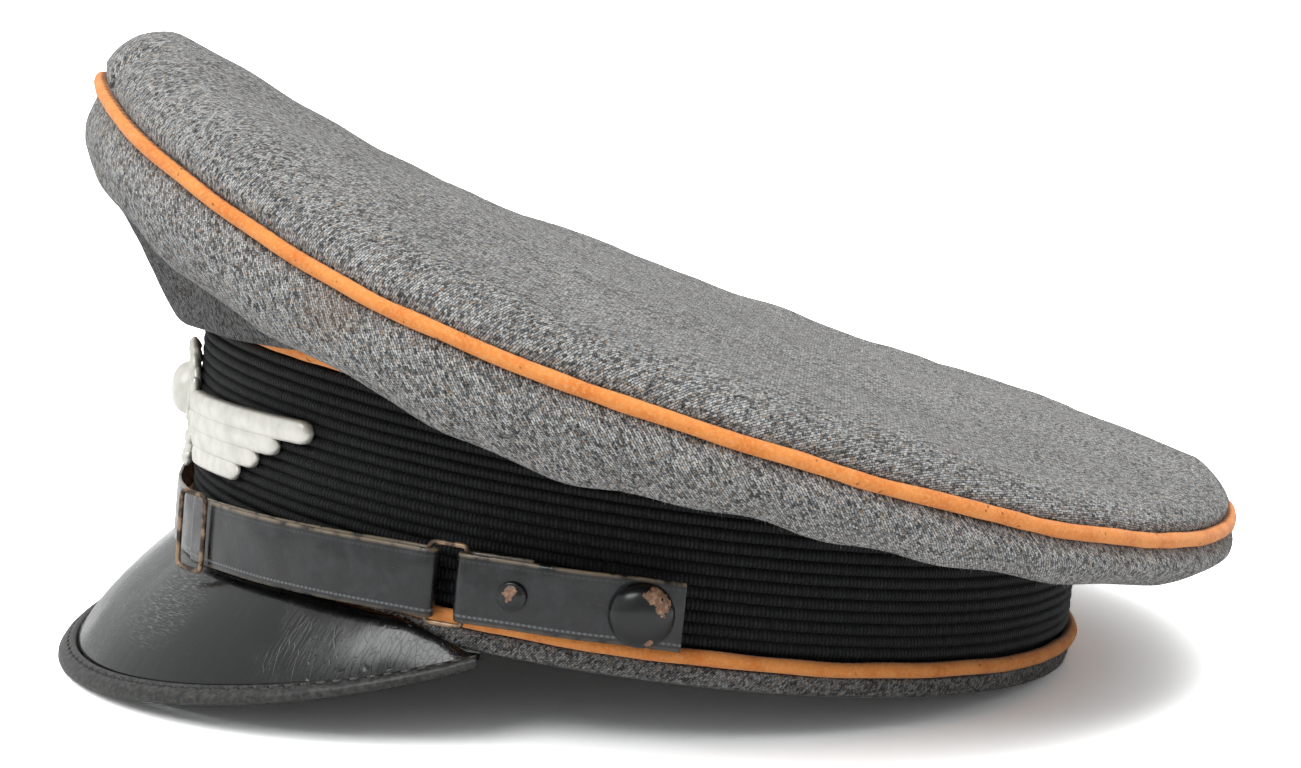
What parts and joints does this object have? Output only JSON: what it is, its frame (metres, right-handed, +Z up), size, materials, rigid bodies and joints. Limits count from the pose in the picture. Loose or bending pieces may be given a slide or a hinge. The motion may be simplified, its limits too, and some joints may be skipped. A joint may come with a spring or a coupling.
{
  "type": "military peaked cap",
  "caption": "Grey wool peaked cap with orange piping, ribbed black band, glossy black peak, buckled chin strap and winged front badge.",
  "frame": {"origin": "middle of the bounding box, on the level that the rim of the peak and the back of the base strip rest on", "axes": "+Z up; -Y to the front, where the peak and badge are; +X to the wearer's left"},
  "size_m": [0.2548, 0.2674, 0.1387],
  "materials": {
    "wool": "heathered wool cloth, matt",
    "felt": "smooth felted cloth, matt",
    "mohair": "ribbed mohair braid, soft sheen",
    "lacquer": "glossy lacquer on fibre board",
    "binding": "semi-gloss with stitch marks",
    "leather": "polished smooth leather",
    "bronze": "dark worn bronze",
    "paint": "satin black paint, worn at the edges",
    "white_metal": "dull white metal"
  },
  "bodies": {
    "root": {"crown_top": "wool", "side_front_left": "wool", "side_back_left": "wool", "side_back_right": "wool", "side_front_right": "wool", "top_piping": "felt", "upper_piping": "felt", "cap_band": "mohair", "lower_piping": "felt", "base_strip": "wool", "peak": "lacquer", "peak_rim": "binding", "chin_strap": "leather", "strap_tab": "leather", "slide_side": "bronze", "slide_front": "bronze", "strap_stud": "bronze", "button_left": "paint", "button_right": "paint", "badge_wing_left": "white_metal", "badge_wing_right": "white_metal", "badge_wreath": "white_metal", "badge_disc": "white_metal"}
  },
  "joints": []
}
